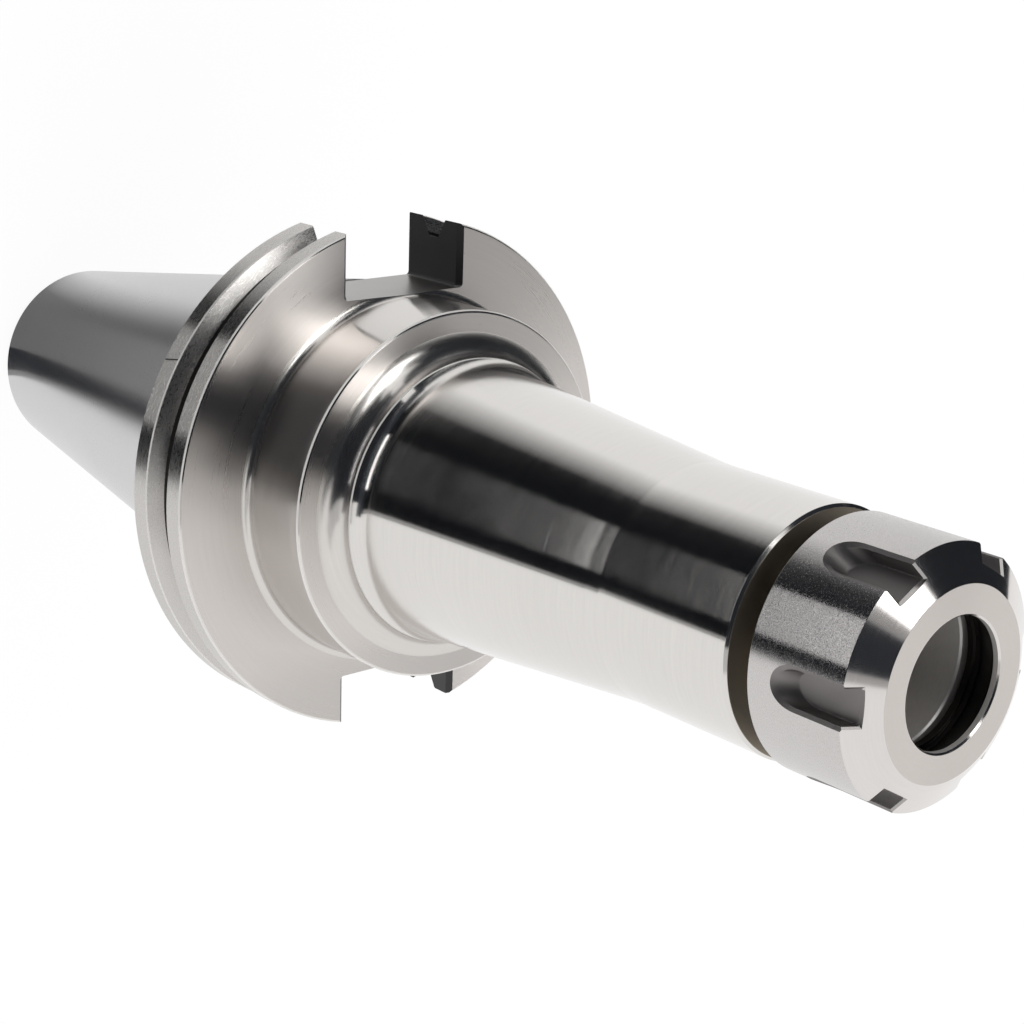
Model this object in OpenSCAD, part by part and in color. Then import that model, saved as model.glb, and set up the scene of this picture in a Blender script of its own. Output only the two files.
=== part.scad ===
// Collet chuck holder: a steep-taper shank with a V-flange, a hub, a tapered neck and a
// clamping nut. Z runs along the axis towards the nose. Zero is the gauge line of the taper.

/* [Steep taper shank] */
// Diameter of the taper at the gauge line
gauge_d = 69.85; // [66:0.05:72]
// Length of the taper from the gauge line to its small end
shank_len = 101.6; // [96:0.1:112]
// Diameter that the taper gains over its length, as a share of that length
taper_share = 0.2916667; // [0.27:0.0000001:0.3]
// Chamfer round the small end
shank_chamfer = 1.2; // [0.5:0.1:2.5]
// Depth of the relief between the taper and the flange
relief_depth = 0.8; // [0.3:0.1:2]

/* [Drawbar thread] */
// Diameter of the pilot bore in the small end
pilot_d = 26.2; // [25.6:0.1:27.5]
// Depth of the pilot bore
pilot_depth = 25.4; // [20:0.1:30]
// Diameter of the bore that the drawbar thread is tapped in
drawbar_d = 22.25; // [20:0.05:24]
// Length of the drawbar thread
drawbar_len = 44.45; // [36:0.05:50]

/* [V-flange] */
// Outside diameter of the flange
flange_d = 98.425; // [97:0.005:102]
// Distance from the gauge line to the flange's rear face
flange_back = 3.175; // [3:0.005:4]
// Distance from the gauge line to the flange's front face
flange_front = 19.05; // [18.5:0.05:21]
// Chamfer on the flange's two rims
rim_chamfer = 0.45; // [0.3:0.05:1]
// Distance from the gauge line to the middle of the V-groove
groove_z = 11.1125; // [10.6:0.0025:11.8]
// Width of the V-groove at the rim
groove_mouth = 6.8; // [6.2:0.1:7.4]
// Angle between the V-groove's two walls
groove_angle = 60; // [56:1:64]
// Diameter of the V-groove's flat bottom
groove_root_d = 91.25; // [89.5:0.05:92.5]
// Broken edges at the V-groove's mouth
groove_break = 0.3; // [0.1:0.05:0.6]
// Fillets at the V-groove's bottom
groove_fillet = 0.8; // [0.3:0.1:1.4]

/* [Drive slots] */
// Width of the two drive slots
slot_w = 25.7; // [24:0.1:28]
// Distance from the axis to the floor of the deeper slot
slot_floor_deep = 35.3; // [35.1:0.1:37]
// Distance from the axis to the floor of the shallower slot
slot_floor_shallow = 37.7; // [36:0.1:39]
// Chamfer on the slots' front edges
slot_chamfer = 1; // [0.4:0.1:1.6]

/* [Hub and neck] */
// Diameter of the hub in front of the flange
hub_d = 69.85; // [66:0.05:70.1]
// Distance from the gauge line to the hub's front face
hub_front = 34.925; // [33:0.025:38]
// Fillet between the flange and the hub
hub_fillet = 1.5; // [0.8:0.1:2]
// Chamfer on the hub's front edge
hub_chamfer = 0.8; // [0.4:0.1:1.4]
// Diameter of the neck where its fillet ends in a ridge
ridge_d = 53.8; // [53:0.1:57]
// Fillet between the hub's front face and the ridge
step_fillet = 4.2; // [3:0.1:5]
// Radius of the hollow that runs from the ridge into the neck's cone
blend_r = 18; // [12:1:24]
// Angle of the neck's cone to the axis
neck_angle = 5; // [4.6:0.1:5.3]
// Distance from the gauge line to the front end of the neck's cone
neck_front = 94.6; // [93:0.1:97]
// Height of the small step where the cone ends
neck_step = 0.2; // [0.1:0.05:0.4]
// Length along the axis that the step takes
neck_step_len = 0.8; // [0.2:0.1:1.5]
// Diameter of the straight part of the neck
neck_d = 41.8; // [40:0.1:42]
// Distance from the gauge line to the shoulder behind the nut
shoulder_z = 126.2; // [124:0.1:128]
// Chamfer on the shoulder's edge
shoulder_chamfer = 0.5; // [0.2:0.1:1]

/* [Threaded nose] */
// Outside diameter of the nose thread
nose_d = 32; // [31:0.1:33]
// Diameter of the relief behind the nose thread
nose_relief_d = 29.6; // [28.5:0.1:30.4]
// Width of the relief behind the nose thread
nose_relief_w = 3; // [2:0.1:4.5]
// Distance from the gauge line to the end of the nose
nose_z = 143.2; // [142:0.1:143.4]
// Chamfer on the end of the nose thread
nose_chamfer = 1; // [0.5:0.1:1.4]

/* [Collet pocket] */
// Diameter of the collet pocket at its mouth
pocket_d = 26; // [25:0.1:26.4]
// Angle of the pocket's wall to the axis
pocket_angle = 8; // [7:0.5:9]
// Depth of the tapered pocket
pocket_depth = 30; // [27:0.5:33]
// Chamfer at the pocket's mouth
pocket_chamfer = 0.3; // [0.1:0.1:0.6]
// Diameter of the bore that takes the tool's shank
tool_bore_d = 17.5; // [16.9:0.1:17.9]
// Length of the bore that takes the tool's shank
tool_bore_len = 25.2; // [20:0.1:30]
// Diameter of the coolant bore through the holder
coolant_d = 10; // [7:0.5:12]

/* [Backup screw] */
// Outside diameter of the backup screw's thread
screw_d = 16; // [14.5:0.1:16.5]
// Length of the backup screw
screw_len = 14; // [11:0.5:17]
// Length of the tapped bore that the backup screw runs in
screw_bore_len = 32; // [28:0.5:36]
// Height of the backup screw above the bottom of its bore
screw_lift = 9; // [4:0.5:12]
// Width across the flats of the backup screw's socket
screw_hex = 8; // [6:0.5:10]
// Depth of the backup screw's socket
screw_hex_depth = 7; // [4:0.5:9]
// Diameter of the coolant hole through the backup screw
screw_hole_d = 5; // [3:0.5:5.5]
// Chamfer on both ends of the backup screw
screw_chamfer = 0.8; // [0.4:0.1:1.2]

/* [Clamping nut] */
// Distance from the gauge line to the nut's front face
face_z = 152.4; // [152.2:0.1:153]
// Outside diameter of the nut
nut_d = 42; // [41:0.1:43]
// Length of the nut
nut_len = 22; // [21:0.1:23]
// Diameter of the nut's flat front face
face_d = 30.9; // [29.8:0.1:32]
// Length of the cone between the nut's rim and its front face
cone_len = 3.4; // [2.8:0.1:3.8]
// Chamfer on the nut's rear edge
nut_chamfer = 0.5; // [0.2:0.1:1]
// Diameter of the bore in the nut's front wall
bore_d = 21.1; // [19.5:0.1:21.3]
// Chamfer round that bore at the front face
bore_chamfer = 0.3; // [0.1:0.1:0.5]
// Thickness of the nut's front wall
front_wall = 1.2; // [1:0.1:1.4]
// Chamfer where the nut's thread begins
entry_chamfer = 0.8; // [0.4:0.1:1.4]

/* [Wrench slots] */
// Number of wrench slots round the nut
wrench_slots = 6; // [4:1:8]
// Width of a wrench slot
wrench_w = 5.8; // [5:0.1:6.4]
// Depth of a wrench slot from the nut's outside
wrench_depth = 3.05; // [2:0.05:3.3]
// Length of a wrench slot's floor behind the front face, up to its rounded end's centre
wrench_len = 9.75; // [8:0.05:11]
// Lean of a wrench slot's rounded end
wrench_lean = 45; // [36:1:48]
// Distance from the front face to the rearmost point of a wrench slot's rim
wrench_tip = 17; // [15:0.1:18]
// Width of the bevel along a wrench slot's sides
wrench_bevel = 0.65; // [0.2:0.05:0.8]
// Angle of that bevel to the slot's sides
bevel_angle = 60; // [54:1:70]
// Width of the bevel where a wrench slot runs out on the nut's cone
notch_bevel = 0.35; // [0.15:0.05:0.6]

/* [Bearing ring] */
// Outside diameter of the bearing ring
ring_d = 29.2; // [28.6:0.1:29.6]
// Length of the bearing ring
ring_len = 6.6; // [6.4:0.1:6.8]
// Diameter of the bearing ring's bore at its front
ring_bore_d = 21.5; // [21.4:0.1:22]
// Diameter of the ring's chamber for the collet's head
chamber_d = 26.2; // [25.8:0.1:26.8]
// Angle of the ring's pressing cone to the axis
press_angle = 30; // [28:1:34]
// Thickness of the lip that draws the collet out
lip_t = 1.2; // [0.8:0.1:1.4]
// Diameter of the lip's bore
lip_bore_d = 24.8; // [24.2:0.1:25.2]
// Offset of the lip's bore from the axis
lip_offset = 0.4; // [0.2:0.1:0.6]
// Chamfer on the ring's edges
ring_chamfer = 0.3; // [0.1:0.1:0.5]
// Diameter of the retaining wire
wire_d = 1.1; // [0.8:0.1:1.4]
// Distance from the nut's front face to the retaining wire's middle
wire_back = 4.4; // [3.8:0.1:5]
// Width of the gap between the retaining wire's two ends
wire_gap = 4; // [2:0.5:8]

/* [Hidden] */
$fn = 96;
// Radial clearance between a thread and the thread that runs in it, or a ring in its seat
running_gap = 0.05;
// How far a cut runs past the face that it starts from
overrun = 1;
// Steps of a small arc that an outline draws by points
arc_steps = 5;
// Length of the drill's point in the drawbar hole, as a share of the hole's diameter
drill_point_share = 0.3;
// Radius in the drive slots' inner corners
slot_corner = 0.8;

gauge_r = gauge_d / 2;
flange_r = flange_d / 2;
groove_root_r = groove_root_d / 2;
groove_root_half = groove_mouth / 2 - (flange_r - groove_root_r) * tan(groove_angle / 2);
hub_r = hub_d / 2;
ridge_r = ridge_d / 2;
ridge_z = hub_front + step_fillet;
neck_r = neck_d / 2;
cone_front_r = neck_r + neck_step;
nose_r = nose_d / 2;
nose_relief_r = nose_relief_d / 2;
pocket_back = nose_z - pocket_depth;
pocket_back_r = pocket_d / 2 - pocket_depth * tan(pocket_angle);
screw_bore_top = pocket_back - tool_bore_len;
screw_bore_bottom = screw_bore_top - screw_bore_len;
screw_bottom = screw_bore_bottom + screw_lift;
drawbar_end = -shank_len + pilot_depth + drawbar_len;

nut_r = nut_d / 2;
nut_rear = face_z - nut_len;
cone_z = face_z - cone_len;
ring_front = face_z - front_wall;
ring_back = ring_front - ring_len;
ring_r = ring_d / 2;
wire_z = face_z - wire_back;
wire_ring_r = ring_r + running_gap / 2;
wire_groove_r = wire_d / 2 + running_gap;
press_len = (chamber_d - ring_bore_d) / 2 / tan(press_angle);
wrench_floor_r = nut_r - wrench_depth;
wrench_end_z = face_z - wrench_len;

function taper_r(z) = gauge_r + z * taper_share / 2;
function neck_cone_r(z) = cone_front_r + (neck_front - z) * tan(neck_angle);

// Where the hollow of radius blend_r leaves the cone, and the hollow's centre
ridge_over_cone = (ridge_r - neck_cone_r(ridge_z)) * cos(neck_angle);
blend_len = sqrt(2 * blend_r * ridge_over_cone - pow(ridge_over_cone, 2));
blend_foot = [neck_cone_r(ridge_z), ridge_z]
    + (blend_len + (ridge_r - neck_cone_r(ridge_z)) * sin(neck_angle))
    * [-sin(neck_angle), cos(neck_angle)];
blend_centre = blend_foot + blend_r * [cos(neck_angle), sin(neck_angle)];

// A point of the fillet between the V-groove's bottom and one wall, its share of the way up
function groove_corner(side, share) =
    let (turn = share * (90 - groove_angle / 2))
    [
        groove_root_r + groove_fillet * (1 - cos(turn)),
        groove_z + side * (
            groove_root_half - groove_fillet * tan((90 - groove_angle / 2) / 2)
            + groove_fillet * sin(turn)
        )
    ];

// The outline of the taper, the flange and the hub, from the small end forwards
module shank_outline() {
    polygon([
        [0, -shank_len],
        [taper_r(-shank_len) - shank_chamfer, -shank_len],
        [taper_r(shank_chamfer - shank_len), shank_chamfer - shank_len],
        [gauge_r, 0],
        [gauge_r - relief_depth, relief_depth],
        [gauge_r - relief_depth, flange_back],
        [flange_r - rim_chamfer, flange_back],
        [flange_r, flange_back + rim_chamfer],
        [flange_r, groove_z - groove_mouth / 2 - groove_break],
        [
            flange_r - groove_break * cos(groove_angle / 2),
            groove_z - groove_mouth / 2 + groove_break * sin(groove_angle / 2)
        ],
        for (turn = [arc_steps:-1:0]) groove_corner(-1, turn / arc_steps),
        for (turn = [0:arc_steps]) groove_corner(1, turn / arc_steps),
        [
            flange_r - groove_break * cos(groove_angle / 2),
            groove_z + groove_mouth / 2 - groove_break * sin(groove_angle / 2)
        ],
        [flange_r, groove_z + groove_mouth / 2 + groove_break],
        [flange_r, flange_front - rim_chamfer],
        [flange_r - rim_chamfer, flange_front],
        [hub_r, flange_front],
        [hub_r, hub_front - hub_chamfer],
        [hub_r - hub_chamfer, hub_front],
        [0, hub_front]
    ]);
}

// The outline of the neck and the threaded nose, starting inside the hub
module neck_outline() {
    polygon([
        [0, flange_front],
        [ridge_r, flange_front],
        [ridge_r, ridge_z],
        [neck_cone_r(ridge_z), ridge_z],
        [cone_front_r, neck_front],
        [neck_r, neck_front + neck_step_len],
        [neck_r, shoulder_z - shoulder_chamfer],
        [neck_r - shoulder_chamfer, shoulder_z],
        [nose_relief_r, shoulder_z],
        [nose_relief_r, shoulder_z + nose_relief_w],
        [nose_r, shoulder_z + nose_relief_w + nose_r - nose_relief_r],
        [nose_r, nose_z - nose_chamfer],
        [nose_r - nose_chamfer, nose_z],
        [0, nose_z]
    ]);
}

// A hollow corner fillet that starts at the given corner and opens outwards and forwards
module corner_fillet(corner, r) {
    translate(corner)
        difference() {
            translate([-overrun, -overrun]) square([r + overrun, r + overrun]);
            translate([r, r]) circle(r);
        }
}

// The wedge between the ridge and the neck's cone, hollowed to blend_r
module blend_wedge() {
    difference() {
        polygon([
            [neck_cone_r(ridge_z) - overrun, ridge_z],
            [ridge_r, ridge_z],
            blend_foot,
            blend_foot - [overrun, 0]
        ]);
        translate(blend_centre) circle(blend_r);
    }
}

module holder_outline() {
    shank_outline();
    neck_outline();
    corner_fillet([hub_r, flange_front], hub_fillet);
    corner_fillet([ridge_r, hub_front], step_fillet);
    blend_wedge();
}

// One drive slot towards +Y, with its floor at the given distance from the axis
module drive_slot(floor_y) {
    depth = flange_r - floor_y + overrun;
    front = flange_front + hub_fillet + overrun;
    translate([0, 0, flange_back - overrun])
        linear_extrude(front - flange_back + overrun)
            union() {
                translate([-slot_w / 2, floor_y + slot_corner]) square([slot_w, depth]);
                translate([slot_corner - slot_w / 2, floor_y])
                    square([slot_w - 2 * slot_corner, depth]);
                for (side = [-1, 1])
                    translate([side * (slot_w / 2 - slot_corner), floor_y + slot_corner])
                        circle(slot_corner);
            }
    translate([0, flange_r + overrun, 0])
        rotate([90, 0, 0])
            linear_extrude(depth - slot_corner)
                polygon([
                    [-slot_w / 2, flange_front - slot_chamfer],
                    [slot_w / 2, flange_front - slot_chamfer],
                    [slot_w / 2 + slot_chamfer + overrun, flange_front + overrun],
                    [-slot_w / 2 - slot_chamfer - overrun, flange_front + overrun]
                ]);
}

// The pilot bore, the tapped bore and the point that its drill left
module drawbar_hole() {
    point = drawbar_d * drill_point_share;
    translate([0, 0, -shank_len - overrun]) cylinder(h = pilot_depth + overrun, d = pilot_d);
    rotate_extrude()
        polygon([
            [0, -shank_len],
            [drawbar_d / 2, -shank_len],
            [drawbar_d / 2, drawbar_end],
            [0, drawbar_end + point]
        ]);
}

// The collet pocket and the bores behind it
module collet_bores() {
    translate([0, 0, pocket_back])
        cylinder(h = pocket_depth, r1 = pocket_back_r, d2 = pocket_d);
    translate([0, 0, nose_z - pocket_chamfer])
        cylinder(
            h = pocket_chamfer + overrun,
            d1 = pocket_d,
            d2 = pocket_d + 2 * (pocket_chamfer + overrun)
        );
    translate([0, 0, screw_bore_top])
        cylinder(h = tool_bore_len + overrun, d = tool_bore_d);
    translate([0, 0, screw_bore_bottom])
        cylinder(h = screw_bore_len + overrun, d = screw_d + 2 * running_gap);
    translate([0, 0, drawbar_end - overrun])
        cylinder(h = screw_bore_bottom - drawbar_end + 2 * overrun, d = coolant_d);
}

module holder_body() {
    color("silver")
        difference() {
            rotate_extrude() holder_outline();
            drive_slot(slot_floor_deep);
            rotate([0, 0, 180]) drive_slot(slot_floor_shallow);
            drawbar_hole();
            collet_bores();
        }
}

module nut_outline() {
    polygon([
        [0, nut_rear],
        [nut_r - nut_chamfer, nut_rear],
        [nut_r, nut_rear + nut_chamfer],
        [nut_r, cone_z],
        [face_d / 2, face_z],
        [0, face_z]
    ]);
}

// The groove that holds the retaining wire, half in the nut and half in the ring
module wire_groove() {
    rotate_extrude() translate([wire_ring_r, wire_z]) circle(wire_groove_r);
}

// One wrench slot towards +X: a flat floor, straight sides and a round end that leans back
module wrench_slot() {
    half = wrench_w / 2;
    reach = (wrench_depth + overrun) / cos(wrench_lean) + 2 * wrench_w;
    intersection() {
        translate([wrench_floor_r, 0, wrench_end_z])
            rotate([0, 90 + wrench_lean, 0])
                translate([0, 0, -wrench_w])
                    linear_extrude(reach)
                        union() {
                            circle(half);
                            translate([-2 * wrench_len, -half]) square([2 * wrench_len, wrench_w]);
                        }
        translate([wrench_floor_r, -nut_r, nut_rear])
            cube([nut_r, nut_d, nut_len + 2 * overrun]);
    }
}

// The bevel along a wrench slot's sides and round its end: a countersink drawn forwards
module wrench_slot_bevel() {
    rim_half = wrench_w / 2 + wrench_bevel;
    point_r = sqrt(pow(nut_r, 2) - pow(rim_half, 2)) - rim_half / tan(bevel_angle);
    top_r = nut_r + overrun;
    sink_r = (top_r - point_r) * tan(bevel_angle);
    sink_z = face_z - wrench_tip + (nut_r - point_r) * tan(bevel_angle);
    translate([0, 0, sink_z]) {
        rotate([0, 90, 0])
            rotate([0, 0, -90])
                rotate_extrude(angle = 180)
                    polygon([[0, point_r], [sink_r, top_r], [0, top_r]]);
        linear_extrude(face_z + overrun - sink_z)
            polygon([[point_r, 0], [top_r, sink_r], [top_r, -sink_r]]);
    }
}

// The bevel where a wrench slot runs out on the nut's cone: a trough along the cone's slope
module notch_bevels() {
    rim_half = wrench_w / 2 + notch_bevel;
    sag = nut_r - sqrt(pow(nut_r, 2) - pow(rim_half, 2));
    intersection() {
        translate([nut_r - sag, 0, cone_z])
            rotate([0, atan(cone_len / (nut_r - face_d / 2)), 0])
                translate([-2 * wrench_depth, 0, 0]) rotate([90, 0, 90])
                    linear_extrude(3 * wrench_depth) polygon([
                        [-rim_half - overrun, overrun],
                        [-rim_half + 2 * notch_bevel, -2 * notch_bevel],
                        [rim_half - 2 * notch_bevel, -2 * notch_bevel],
                        [rim_half + overrun, overrun]
                    ]);
        translate([wrench_floor_r, -nut_r, 0]) cube([nut_r, 2 * nut_r, face_z + overrun]);
    }
}

module clamping_nut() {
    thread_d = nose_d + 2 * running_gap;
    color("lightgray")
        difference() {
            rotate_extrude() nut_outline();
            translate([0, 0, nut_rear - overrun])
                cylinder(h = ring_back - nut_rear + overrun, d = thread_d);
            translate([0, 0, nut_rear - overrun])
                cylinder(
                    h = entry_chamfer + overrun,
                    d1 = thread_d + 2 * (entry_chamfer + overrun),
                    d2 = thread_d
                );
            translate([0, 0, ring_back - overrun])
                cylinder(h = ring_len + overrun, d = ring_d + 2 * running_gap);
            translate([0, 0, ring_front - overrun])
                cylinder(h = front_wall + 2 * overrun, d = bore_d);
            translate([0, 0, face_z - bore_chamfer])
                cylinder(
                    h = bore_chamfer + overrun,
                    d1 = bore_d,
                    d2 = bore_d + 2 * (bore_chamfer + overrun)
                );
            wire_groove();
            for (i = [0 : wrench_slots - 1])
                rotate([0, 0, i * 360 / wrench_slots]) {
                    wrench_slot();
                    wrench_slot_bevel();
                    notch_bevels();
                }
        }
}

module bearing_ring() {
    front = ring_front - running_gap;
    cone_back = front - ring_chamfer - press_len;
    color("dimgray")
        difference() {
            rotate_extrude()
                polygon([
                    [0, ring_back],
                    [ring_r - ring_chamfer, ring_back],
                    [ring_r, ring_back + ring_chamfer],
                    [ring_r, front - ring_chamfer],
                    [ring_r - ring_chamfer, front],
                    [0, front]
                ]);
            translate([lip_offset, 0, ring_back - overrun])
                cylinder(h = lip_t + 2 * overrun, d = lip_bore_d);
            rotate_extrude()
                polygon([
                    [0, ring_back + lip_t],
                    [chamber_d / 2, ring_back + lip_t],
                    [chamber_d / 2, cone_back],
                    [ring_bore_d / 2, cone_back + press_len],
                    [ring_bore_d / 2, front + overrun],
                    [0, front + overrun]
                ]);
            wire_groove();
        }
}

module retaining_wire() {
    color("gray")
        difference() {
            rotate_extrude() translate([wire_ring_r, wire_z]) circle(d = wire_d);
            translate([0, -wire_gap / 2, wire_z - wire_d])
                cube([wire_ring_r + wire_d, wire_gap, 2 * wire_d]);
        }
}

module stop_screw() {
    r = screw_d / 2;
    top = screw_bottom + screw_len;
    color("slategray")
        difference() {
            rotate_extrude()
                polygon([
                    [0, screw_bottom],
                    [r - screw_chamfer, screw_bottom],
                    [r, screw_bottom + screw_chamfer],
                    [r, top - screw_chamfer],
                    [r - screw_chamfer, top],
                    [0, top]
                ]);
            translate([0, 0, screw_bottom - overrun])
                cylinder(h = screw_len + 2 * overrun, d = screw_hole_d);
            translate([0, 0, top - screw_hex_depth])
                cylinder(h = screw_hex_depth + overrun, d = screw_hex / cos(30), $fn = 6);
        }
}

holder_body();
clamping_nut();
bearing_ring();
retaining_wire();
stop_screw();
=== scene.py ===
"""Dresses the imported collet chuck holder: turned and ground steel on surfaces of revolution.

Lengths in the classes are millimetres in the part's own frame, with Z along the axis towards
the nose and zero at the gauge line. They become metres when a mesh is made.
"""
import logging
import math
from dataclasses import dataclass
from enum import Enum

import bpy
import numpy as np
from bpy.types import Material, Node, NodeSocket, NodeTree, Object
from mathutils import Matrix


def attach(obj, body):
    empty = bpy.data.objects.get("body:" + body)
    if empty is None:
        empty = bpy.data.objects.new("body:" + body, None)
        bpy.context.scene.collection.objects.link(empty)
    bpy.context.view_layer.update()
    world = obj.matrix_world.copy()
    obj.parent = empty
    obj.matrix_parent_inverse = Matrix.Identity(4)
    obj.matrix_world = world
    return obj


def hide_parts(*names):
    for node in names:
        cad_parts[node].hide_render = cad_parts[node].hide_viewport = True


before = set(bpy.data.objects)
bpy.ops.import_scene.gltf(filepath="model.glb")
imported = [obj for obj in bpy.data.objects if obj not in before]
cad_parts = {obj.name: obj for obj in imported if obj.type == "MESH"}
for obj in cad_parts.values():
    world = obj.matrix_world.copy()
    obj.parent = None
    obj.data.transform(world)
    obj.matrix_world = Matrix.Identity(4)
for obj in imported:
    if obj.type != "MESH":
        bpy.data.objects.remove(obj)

MM = 0.001
WHITE = (1.0, 1.0, 1.0)
DARK_TINT = (0.86, 0.95, 1.14)
DARK_BELOW = 0.06
QUARTER_TURN = 0.25
PATCH_SCALE = 45.0
LINE_SHADE = 1.2
LINE_DECAY = 0.65
STRAIGHT = 1e-6
log = logging.getLogger("collet_chuck_holder")


def feed(tree: NodeTree, node: Node, values: dict) -> None:
    """Set or link inputs of a node.

    Args:
        tree: the node tree.
        node: the node.
        values: for an input's name or number, its value or the socket that feeds it.
    """
    for key, value in values.items():
        if isinstance(value, NodeSocket):
            tree.links.new(value, node.inputs[key])
        else:
            node.inputs[key].default_value = value


def add_node(tree: NodeTree, kind: str, **values) -> Node:
    """Add a node of a kind; its inputs are given by name, as in feed()."""
    node = tree.nodes.new(kind)
    feed(tree, node, values)
    return node


def math_node(tree: NodeTree, operation: str, *values) -> NodeSocket:
    """Add a Math node for numbers or sockets and return its output."""
    node = add_node(tree, "ShaderNodeMath")
    node.operation = operation
    feed(tree, node, dict(enumerate(values)))
    return node.outputs["Value"]


def mix_about(tree: NodeTree, middle: float, parts) -> NodeSocket:
    """Add noises to a middle value, each centred on nought and scaled.

    Args:
        tree: the node tree.
        middle: the value where every noise is at its mean.
        parts: pairs of a noise socket and its amount.
    Returns:
        The sum's socket.
    """
    total: NodeSocket | float = middle
    for noise, amount in parts:
        centred = math_node(tree, "SUBTRACT", noise, 0.5)
        total = math_node(tree, "ADD", math_node(tree, "MULTIPLY", centred, 2.0 * amount), total)
    return total


@dataclass(frozen=True)
class SteelFinish:
    """One steel finish, made of fine lines that run round the axis.

    Args:
        name: its material's name.
        color: base colour, linear; the bare metal's, darkened in the finishes that carry painted shade.
        roughness: mean roughness.
        anisotropy: how much more the finish spreads light along the axis than round it.
        line_pitch: distance between neighbouring lines, in mm.
        line_height: height of the lines, in mm.
        line_run: how many times a line breaks up in one turn; small means long lines.
        line_contrast: how much the lines change the roughness.
        mottle: how much slow patches change the roughness and colour.
        metallic: 1 for clean metal; less where a film of oxide or oil scatters light.
    """

    name: str
    color: tuple[float, float, float]
    roughness: float
    anisotropy: float = 0.0
    line_pitch: float = 0.25
    line_height: float = 0.0004
    line_run: float = 2.0
    line_contrast: float = 0.05
    mottle: float = 0.04
    metallic: float = 1.0

    def build(self) -> Material:
        """Make the node material."""
        material = bpy.data.materials.new(self.name)
        material.use_nodes = True
        tree = material.node_tree
        place = add_node(tree, "ShaderNodeTexCoord").outputs["Object"]
        lines = self._lines(tree, place)
        noise = add_node(tree, "ShaderNodeTexNoise", Scale=PATCH_SCALE, Detail=3.0, Vector=place)
        patches = (noise.outputs["Fac"], self.mottle)

        shade = mix_about(tree, 1.0, ((lines, LINE_SHADE * self.line_contrast), patches))
        tint = add_node(tree, "ShaderNodeMix")
        tint.data_type, tint.blend_type = "RGBA", "MULTIPLY"
        feed(tree, tint, {"Factor": 1.0, 6: (*self.color, 1.0), 7: shade})

        bump = add_node(tree, "ShaderNodeBump", Strength=1.0, Distance=self.line_height * MM, Height=lines)
        tangent = add_node(tree, "ShaderNodeTangent")
        tangent.direction_type, tangent.axis = "RADIAL", "Z"
        feed(tree, tree.nodes["Principled BSDF"], {
            "Base Color": tint.outputs[2],
            "Metallic": self.metallic,
            "Roughness": mix_about(tree, self.roughness, ((lines, self.line_contrast), patches)),
            "Anisotropic": self.anisotropy,
            "Anisotropic Rotation": QUARTER_TURN,
            "Normal": bump.outputs["Normal"],
            "Tangent": tangent.outputs["Tangent"],
        })
        return material

    def _lines(self, tree: NodeTree, place: NodeSocket) -> NodeSocket:
        """Make the turning lines.

        A 4-D noise is read at (run * x/r, run * y/r, z / pitch, r / pitch), so that it changes
        fast along the outline and slowly round the axis.

        Args:
            tree: the node tree.
            place: the point on the piece.
        Returns:
            The lines' height, from 0 to 1.
        """
        x, y, z = add_node(tree, "ShaderNodeSeparateXYZ", Vector=place).outputs
        squares = [math_node(tree, "POWER", value, 2.0) for value in (x, y)]
        radius = math_node(tree, "SQRT", math_node(tree, "ADD", *squares))
        per_metre = 1.0 / (self.line_pitch * MM)
        around = add_node(tree, "ShaderNodeCombineXYZ", Z=math_node(tree, "MULTIPLY", z, per_metre))
        for k, value in enumerate((x, y)):
            unit = math_node(tree, "DIVIDE", value, radius)
            feed(tree, around, {k: math_node(tree, "MULTIPLY", unit, self.line_run)})
        noise = add_node(tree, "ShaderNodeTexNoise", Scale=1.0, Detail=4.0, Roughness=LINE_DECAY)
        noise.noise_dimensions = "4D"
        out_from_axis = math_node(tree, "MULTIPLY", radius, per_metre)
        feed(tree, noise, {"Vector": around.outputs[0], "W": out_from_axis})
        return noise.outputs["Fac"]


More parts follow.
